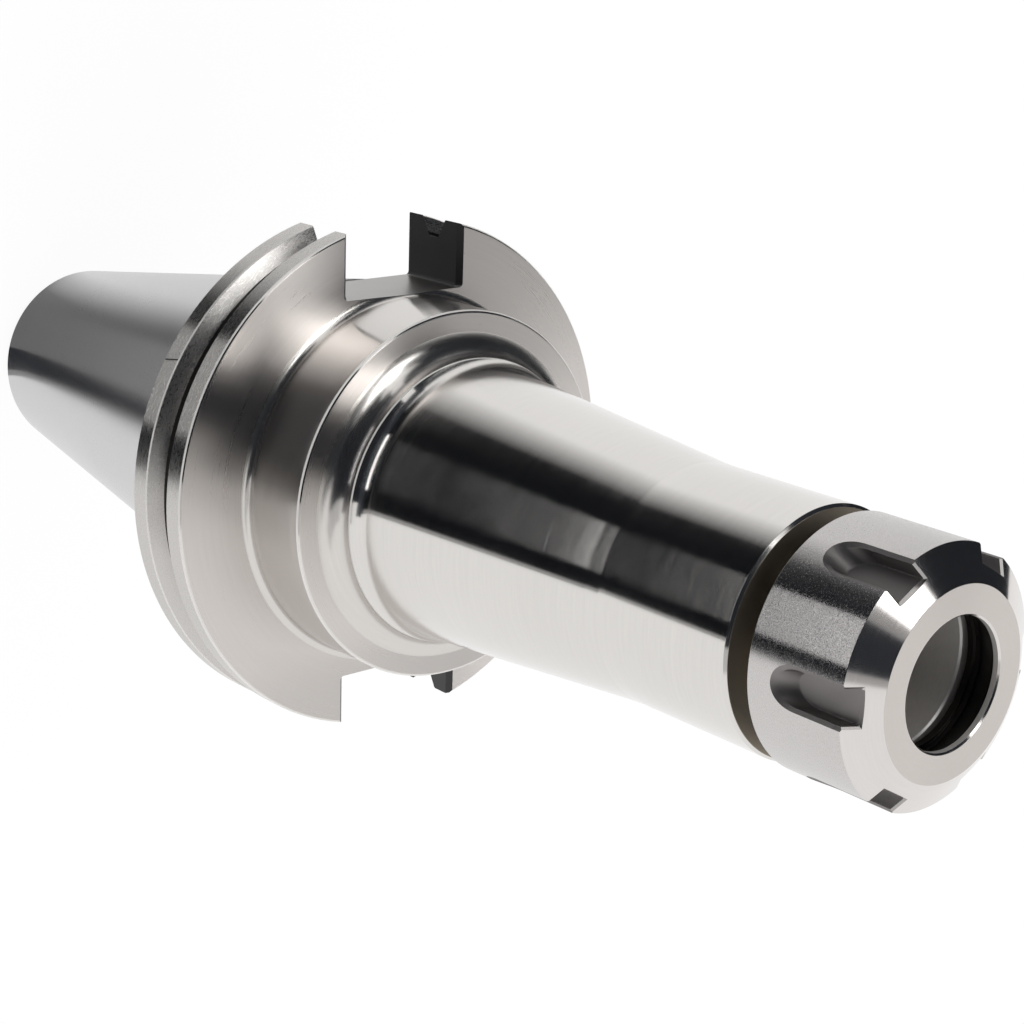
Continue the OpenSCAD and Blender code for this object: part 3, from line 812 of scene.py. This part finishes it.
@dataclass
class ClampingNut:
    """The nut, with a cone towards its front face and six wrench slots."""

    face_z: float = 152.4
    nut_r: float = 21.0
    nut_len: float = 22.0
    face_r: float = 15.45
    cone_len: float = 3.4
    nut_chamfer: float = 0.5
    bore_r: float = 10.55
    bore_chamfer: float = 0.3
    front_wall: float = 1.2
    entry_chamfer: float = 0.8
    thread_r: float = 16.05
    thread_crest_r: float = 15.22
    thread_pitch: float = 1.5
    thread_gap: float = 1.2
    seat_r: float = 14.65
    ring_len: float = 6.6
    wrench_slots: int = 6
    wrench_w: float = 5.8
    wrench_depth: float = 3.05
    wrench_len: float = 9.75
    wrench_lean: float = 45.0
    wrench_tip: float = 17.0
    wrench_bevel: float = 0.65
    bevel_depth: float = 0.38
    floor_round: float = 0.2
    notch_bevel: float = 0.35
    edge: float = 0.12
    fine: float = 0.06
    crisp: float = 0.1
    over: float = 1.2

    def outline(self) -> Outline:
        """Lay out the nut's section, from its thread's mouth round the outside to the bore."""
        edge, fine, crisp, rear = self.edge, self.fine, self.crisp, self.face_z - self.nut_len
        wall = self.face_z - self.front_wall
        seat = wall - self.ring_len
        return Outline([
            Corner(self.thread_r + self.entry_chamfer, rear, edge, Finish.NUT_SIDE),
            Corner(self.nut_r - self.nut_chamfer, rear, edge, Finish.NUT_SIDE),
            Corner(self.nut_r, rear + self.nut_chamfer, edge, Finish.NUT_SIDE),
            Corner(self.nut_r, self.face_z - self.cone_len, edge, Finish.NUT_CONE),
            Corner(self.face_r, self.face_z, edge, Finish.NUT_FACE),
            Corner(self.bore_r + self.bore_chamfer, self.face_z, fine, Finish.NUT_CONE),
            Corner(self.bore_r, self.face_z - self.bore_chamfer, fine, Finish.BORE),
            Corner(self.bore_r, wall, fine, Finish.BORE),
            Corner(self.seat_r, wall, crisp, Finish.BORE),
            Corner(self.seat_r, seat, crisp, Finish.THREAD),
            Corner(self.thread_r, seat, crisp, Finish.THREAD),
            Corner(self.thread_r, rear + self.entry_chamfer, crisp, Finish.THREAD),
        ])

    def wrench_slot(self, turn: float) -> Object:
        """Make the cutter of one wrench slot.

        At a height x over the floor the section is a stadium, open to the front, whose round end
        has moved back by x * tan(lean), and is as long as half the width over cos(lean). Over
        the bevel the section also grows outwards.

        Args:
            turn: angle in degrees from +X.
        Returns:
            The cutter.
        """
        half, floor = self.wrench_w / 2, self.nut_r - self.wrench_depth
        lean = math.radians(self.wrench_lean)
        rim = math.sqrt(self.nut_r**2 - (half + self.wrench_bevel) ** 2)
        bevel, start, over = self.wrench_bevel, rim - self.bevel_depth, self.over
        height = np.array([floor, floor + self.fine, floor + self.floor_round, start, rim, rim + over])
        widest = bevel * (1 + over / self.bevel_depth)
        wide = np.array([-self.floor_round, -self.fine, 0.0, 0.0, bevel, widest])
        deep = height - floor
        middle = self.face_z - self.wrench_len - deep * math.tan(lean)
        wall_tip = self.wrench_len + self.wrench_depth * math.tan(lean) + half / math.cos(lean)
        flare = (self.wrench_tip - wall_tip) / (self.wrench_depth - deep[3])
        length = half / math.cos(lean) + np.minimum(wide, 0.0) + flare * np.maximum(deep - deep[3], 0.0)
        around = np.radians(np.linspace(0.0, 180.0, 33))
        side = (half + wide)[:, None]
        y = np.hstack([side, side * np.cos(around), -side])
        z = middle[:, None] - length[:, None] * np.sin(around)
        front = np.full((len(height), 1), self.face_z + 2.0)
        z = np.hstack([front, z, front])
        return loft("wrench_slot_cutter", turned(height[:, None], y, z, turn))

    def notch(self, turn: float) -> Object:
        """Make the cutter that bevels a wrench slot's edges along the nut's cone.

        It is a trough along the cone's slope that ends upright over the slot's floor. Its sides
        lean by 45 degrees and meet the cone outside the slot's own sides.

        Args:
            turn: angle in degrees from +X.
        Returns:
            The cutter.
        """
        half, over, sink = self.wrench_w / 2 + self.notch_bevel, 1.0, 2 * self.notch_bevel
        sag = self.nut_r - math.sqrt(self.nut_r**2 - half**2)
        slope = math.atan2(self.cone_len, self.nut_r - self.face_r)
        rim = np.array([self.nut_r - sag, self.face_z - self.cone_len])
        down = np.array([math.cos(slope), -math.sin(slope)])
        normal = np.array([math.sin(slope), math.cos(slope)])
        y = np.array([-half - over, sink - half, half - sink, half + over])
        lift = np.array([over, -sink, -sink, over])
        floor = self.nut_r - self.wrench_depth
        inner = (floor - rim[0] - lift * normal[0]) / down[0]
        along = np.stack([inner, np.full(4, self.wrench_depth)])
        x = rim[0] + along * down[0] + lift * normal[0]
        z = rim[1] + along * down[1] + lift * normal[1]
        return loft("notch_cutter", turned(x, y, z, turn))

    def build(self, wardrobe: Wardrobe) -> Object:
        """Build the nut, cut its wrench slots and thread it.

        Args:
            wardrobe: where the materials come from.
        Returns:
            The dressed nut.
        """
        nut = TurnedPiece("clamping_nut_finished", self.outline(), wardrobe)
        turns = [k * 360 / self.wrench_slots for k in range(self.wrench_slots)]
        nut.cut([self.wrench_slot(turn) for turn in turns], Finish.NUT_SLOT)
        nut.cut([self.notch(turn) for turn in turns], Finish.BEVEL)
        finished = nut.polish()
        rear = self.face_z - self.nut_len
        seat = self.face_z - self.front_wall - self.ring_len
        thread = Thread(
            self.thread_r - 0.01, self.thread_crest_r, rear + self.thread_gap, seat - self.thread_gap,
            self.thread_pitch, 0.5,
        ).build("nut_thread", wardrobe.get(Finish.THREAD))
        return join([finished, thread])


@dataclass
class BearingRing:
    """The black ring that presses the collet, with an eccentric lip that draws it out."""

    front: float = 151.15
    back: float = 144.6
    ring_r: float = 14.6
    bore_r: float = 10.75
    chamber_r: float = 13.1
    press_angle: float = 30.0
    lip_t: float = 1.2
    lip_bore_r: float = 12.4
    lip_offset: float = 0.4
    chamfer: float = 0.3
    edge: float = 0.08

    def build(self, wardrobe: Wardrobe) -> Object:
        """Build the ring.

        The lip's bore is laid out about the axis and then moved off it.

        Args:
            wardrobe: where the materials come from.
        Returns:
            The dressed ring.
        """
        cone_len = (self.chamber_r - self.bore_r) / math.tan(math.radians(self.press_angle))
        cone_back = self.front - self.chamfer - cone_len
        outline = [
            (self.lip_bore_r, self.back),
            (self.ring_r - self.chamfer, self.back),
            (self.ring_r, self.back + self.chamfer),
            (self.ring_r, self.front - self.chamfer),
            (self.ring_r - self.chamfer, self.front),
            (self.bore_r, self.front),
            (self.bore_r, self.front - self.chamfer),
            (self.chamber_r, cone_back),
            (self.chamber_r, self.back + self.lip_t),
            (self.lip_bore_r, self.back + self.lip_t),
        ]
        corners = [Corner(r, z, self.edge, Finish.BLACK) for r, z in outline]
        ring = TurnedPiece("bearing_ring_finished", Outline(corners), wardrobe).polish()
        bore = (self.lip_bore_r + 1.5 * self.edge) * MM
        top = (self.back + self.lip_t + self.edge / 2) * MM
        for vertex in ring.data.vertices:
            if vertex.co.z < top and math.hypot(vertex.co.x, vertex.co.y) < bore:
                vertex.co.x += self.lip_offset * MM
        return ring


def card(name: str, places: np.ndarray, faces: np.ndarray, light: np.ndarray) -> Object:
    """Hang a card of the studio that only reflections see.

    Args:
        name: the card's name.
        places: its vertices in metres.
        faces: its faces.
        light: how bright it is at every vertex; 1 is white and 0 is black.
    Returns:
        The card.
    """
    hung = new_object(name, places / MM, faces)
    layer = hung.data.attributes.new("light", "FLOAT", "POINT")
    layer.data.foreach_set("value", light.astype(np.float32))
    dark = float(light.max()) < DARK_BELOW
    hung.data.materials.append(glow("dark_card", DARK_TINT) if dark else glow("light_card", WHITE))
    hung.visible_camera = hung.visible_diffuse = hung.visible_shadow = False
    hung.visible_transmission = False
    return hung


def bare_material(name: str) -> tuple[Material, NodeTree, Node]:
    """Make a material that holds nothing but its output; return it, its tree and the output."""
    material = bpy.data.materials.new(name)
    material.use_nodes = True
    tree = material.node_tree
    tree.nodes.clear()
    return material, tree, tree.nodes.new("ShaderNodeOutputMaterial")


def glow(name: str, tint: tuple[float, float, float]) -> Material:
    """Return the material that only shines, as bright as each vertex's light says."""
    if name in bpy.data.materials:
        return bpy.data.materials[name]
    material, tree, out = bare_material(name)
    light = add_node(tree, "ShaderNodeAttribute")
    light.attribute_name = "light"
    shine = add_node(tree, "ShaderNodeEmission", Color=(*tint, 1.0), Strength=light.outputs["Fac"])
    feed(tree, out, {"Surface": shine.outputs[0]})
    return material


def shown(tree: NodeTree, camera_share: float) -> NodeSocket:
    """Tell reflected, refracted and direct rays from those that only carry light.

    Args:
        tree: the node tree.
        camera_share: the value for a direct ray.
    Returns:
        The socket: 1 for a reflected or refracted ray, 0 for one that only carries light.
    """
    path = add_node(tree, "ShaderNodeLightPath").outputs
    direct = math_node(tree, "MULTIPLY", path["Is Camera Ray"], camera_share)
    bent = math_node(tree, "MAXIMUM", path["Is Glossy Ray"], path["Is Transmission Ray"])
    return math_node(tree, "MAXIMUM", direct, bent)


def towards(azimuth: float, elevation: float, distance: float) -> np.ndarray:
    """Return the point at an azimuth and elevation in degrees and a distance from the origin."""
    a, e = math.radians(azimuth), math.radians(elevation)
    return distance * np.array([math.cos(e) * math.cos(a), math.cos(e) * math.sin(a), math.sin(e)])


@dataclass(frozen=True)
class Band:
    """A stretch of the room overhead, as two angles in degrees.

    Args:
        name: the card's name.
        rise: from and to, from the far horizon (0) through the zenith (90) to the near one.
        side: from and to, sideways from that arc.
        light: how bright it is.
    """

    name: str
    rise: tuple[float, float]
    side: tuple[float, float]
    light: float
    far_azimuth: float = 335.0
    distance: float = 1.5
    steps: tuple[int, int] = (13, 5)

    def build(self) -> Object:
        """Build the card: cos s (cos u far + sin u up) + sin s sideways, for rise u and side s."""
        far, sideways = towards(self.far_azimuth, 0.0, 1.0), towards(self.far_azimuth + 90.0, 0.0, 1.0)
        rows, columns = self.steps
        u = np.radians(np.linspace(*self.rise, rows))[:, None, None]
        s = np.radians(np.linspace(*self.side, columns))[None, :, None]
        arc = np.cos(u) * far + np.sin(u) * np.array([0.0, 0.0, 1.0])
        place = (np.cos(s) * arc + np.sin(s) * sideways) * self.distance
        light = np.full(rows * columns, self.light)
        return card(self.name, place.reshape(-1, 3), grid_faces(rows, columns, False, False), light)


@dataclass(frozen=True)
class Sector:
    """A stretch of the floor that only reflections see.

    Args:
        name: the card's name.
        azimuths: from and to, in degrees.
        radii: from and to, in metres from the axis.
        light: how bright it is at its first azimuth.
        last_light: how bright it is at its last azimuth, where that differs.
    """

    name: str
    azimuths: tuple[float, float]
    radii: tuple[float, float]
    light: float
    last_light: float | None = None
    rows: int = 13
    lift: float = 0.0005
    inmost: float = 0.001

    def build(self, floor_z: float) -> Object:
        """Build the card just over the floor."""
        turn = np.radians(np.linspace(*self.azimuths, self.rows))[:, None]
        radius = np.maximum(self.radii, self.inmost)
        x, y = radius * np.cos(turn), radius * np.sin(turn)
        place = np.stack([x, y, np.full_like(x, floor_z + self.lift)], axis=-1).reshape(-1, 3)
        last = self.light if self.last_light is None else self.last_light
        light = np.repeat(np.linspace(self.light, last, self.rows), 2)
        return card(self.name, place, grid_faces(self.rows, 2, False, False), light)


@dataclass
class Studio:
    """Camera, floor, cards, lamps and world."""

    floor_z: float = -0.1016
    floor_half: float = 4.0
    floor_color: float = 0.9
    floor_share: float = 0.93
    room_light: float = 0.7
    lens: float = 76.602
    sensor: float = 36.0
    camera_at: tuple[float, float, float] = (-0.243854, 0.114001, 0.336486)
    camera_right: tuple[float, float, float] = (0.765289, 0.031898, 0.642896)
    camera_up: tuple[float, float, float] = (0.162085, 0.957039, -0.240426)

    def camera(self) -> None:
        """Stand the camera where the photograph was taken from."""
        data = bpy.data.cameras.new("camera")
        data.lens, data.sensor_width = self.lens, self.sensor
        data.clip_start, data.clip_end = 0.01, 20.0
        camera = bpy.data.objects.new("camera", data)
        bpy.context.scene.collection.objects.link(camera)
        right, up = np.array(self.camera_right), np.array(self.camera_up)
        right /= np.linalg.norm(right)
        up -= right * (up @ right)
        up /= np.linalg.norm(up)
        back = np.cross(right, up)
        matrix = np.eye(4)
        matrix[:3, 0], matrix[:3, 1], matrix[:3, 2], matrix[:3, 3] = right, up, back, self.camera_at
        camera.matrix_world = Matrix(matrix.tolist())
        bpy.context.scene.camera = camera

    def floor(self) -> None:
        """Lay a plain white floor that keeps a faint shadow."""
        mesh = bpy.data.meshes.new("floor")
        half = self.floor_half
        corners = [(x * half, y * half, self.floor_z) for x, y in ((-1, -1), (1, -1), (1, 1), (-1, 1))]
        mesh.from_pydata(corners, [], [[0, 1, 2, 3]])
        floor = bpy.data.objects.new("floor", mesh)
        bpy.context.scene.collection.objects.link(floor)
        material, tree, out = bare_material("white_floor")
        plain = add_node(tree, "ShaderNodeBsdfDiffuse", Color=(*[self.floor_color] * 3, 1.0))
        shine = add_node(tree, "ShaderNodeEmission")
        mix = add_node(tree, "ShaderNodeMixShader")
        feed(tree, mix, {0: shown(tree, self.floor_share), 1: plain.outputs[0], 2: shine.outputs[0]})
        feed(tree, out, {"Surface": mix.outputs[0]})
        floor.data.materials.append(material)

    def cards(self) -> None:
        """Lay and hang the black and white cards that the polished steel reflects."""
        taper, rim, neck = (0.0, 0.09), (0.09, 0.17), (0.17, 0.350)
        far, back = (0.350, 0.43), (0.43, 1.6)
        for row in (
            ("taper_fade", (88, 119), taper, 1.0, 0.21),
            ("taper_middle", (119, 166), taper, 0.21),
            ("taper_strip", (166, 181), taper, 0.03),
            ("taper_last", (181, 185), taper, 0.30),
            ("rim_fade", (98, 118), rim, 1.0, 0.01),
            ("rim_strip", (118, 131), rim, 0.008),
            ("rim_middle", (131, 169), rim, 0.70),
            ("rim_second_strip", (169, 186), rim, 0.010),
            ("neck_fade", (74, 103), neck, 1.0, 0.02),
            ("neck_strip", (103, 134), neck, 0.008),
            ("neck_middle", (134, 166), neck, 0.011),
            ("neck_second_strip", (166, 185), neck, 0.008),
            ("neck_last", (185, 188), neck, 0.35),
            ("far_fade", (98, 113), far, 1.0, 0.01),
            ("far_strip", (113, 132), far, 0.008),
            ("far_middle", (132, 171), far, 3.0),
            ("back", (92, 190), back, 0.05),
            ("far_left", (4, 98), (0.55, 1.6), 0.03),
            ("far_second_strip", (171, 188), far, 0.010),
        ):
            Sector(*row).build(self.floor_z)
        for row in (
            ("camera_side", (114, 184), (-26, 37), 0.022),
            ("camera_left_low", (150, 184), (37, 47), 0.03),
            ("left_wall_far", (-8, 104), (52, 89), 0.03),
            ("left_wall_near", (104, 188), (58, 89), 0.03),
            ("camera_right_edge", (105, 172), (-40, -26), 0.60),
            ("overhead_strip", (76, 114), (-9, 11), 0.035),
            ("overhead_left_edge", (76, 114), (11, 18), 0.35),
            ("overhead_right_edge", (76, 114), (-13, -9), 0.45),
            ("bright_top", (77, 96), (18, 33), 4.2),
            ("bright_top_near", (96, 114), (18, 40), 3.0),
            ("dark_side_low", (-4, 24), (20.5, 52.0), 0.022),
            ("dark_side", (24, 76), (17, 52), 0.022),
            ("dark_side_inner", (42, 76), (7.5, 17.0), 0.10),
            ("dark_side_high", (76, 96), (33.5, 60.0), 0.04),
            ("dark_side_top", (96, 106), (40.5, 60.0), 0.06),
        ):
            Band(*row).build()

    def lamps(self) -> None:
        """Hang two broad soft lamps for the shadow on the floor."""
        for name, place, size, watts in (
            ("key", towards(250.0, 55.0, 1.6), 1.2, 14.0),
            ("fill", towards(60.0, 45.0, 1.6), 1.2, 8.0),
        ):
            data = bpy.data.lights.new(name, "AREA")
            data.size, data.energy = size, watts
            lamp = bpy.data.objects.new(name, data)
            lamp.location = place
            lamp.rotation_euler = (-lamp.location).to_track_quat("-Z", "Y").to_euler()
            lamp.visible_glossy = False
            bpy.context.scene.collection.objects.link(lamp)

    def world(self) -> None:
        """Surround the scene with plain white."""
        world = bpy.data.worlds.new("white_room")
        bpy.context.scene.world = world
        world.use_nodes = True
        tree = world.node_tree
        extra = math_node(tree, "MULTIPLY", shown(tree, 1.0), 1.0 - self.room_light)
        strength = math_node(tree, "ADD", extra, self.room_light)
        feed(tree, tree.nodes["Background"], {"Color": (*WHITE, 1.0), "Strength": strength})

    def build(self) -> None:
        """Set up the whole studio."""
        bpy.context.scene.view_settings.view_transform = "Standard"
        self.world()
        self.floor()
        self.cards()
        self.lamps()
        self.camera()


def dress(piece: Object, body: str, node: str) -> None:
    """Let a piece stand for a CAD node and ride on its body."""
    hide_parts(node)
    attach(piece, body)
    log.info("%s: %d faces, stands for %s", piece.name, len(piece.data.polygons), node)


def main() -> None:
    """Build the studio and every piece."""
    logging.basicConfig(level=logging.INFO, format="%(message)s")
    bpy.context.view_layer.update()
    wardrobe = Wardrobe()
    Studio().build()
    dress(HolderBody().build(wardrobe), "holder", "holder_body")
    dress(ClampingNut().build(wardrobe), "nut", "clamping_nut")
    dress(BearingRing().build(wardrobe), "ring", "bearing_ring")
    for node, finish in (("retaining_wire", Finish.WIRE), ("stop_screw", Finish.BLACK)):
        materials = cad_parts[node].data.materials
        materials.clear()
        materials.append(wardrobe.get(finish))


if __name__ == "__main__":
    main()
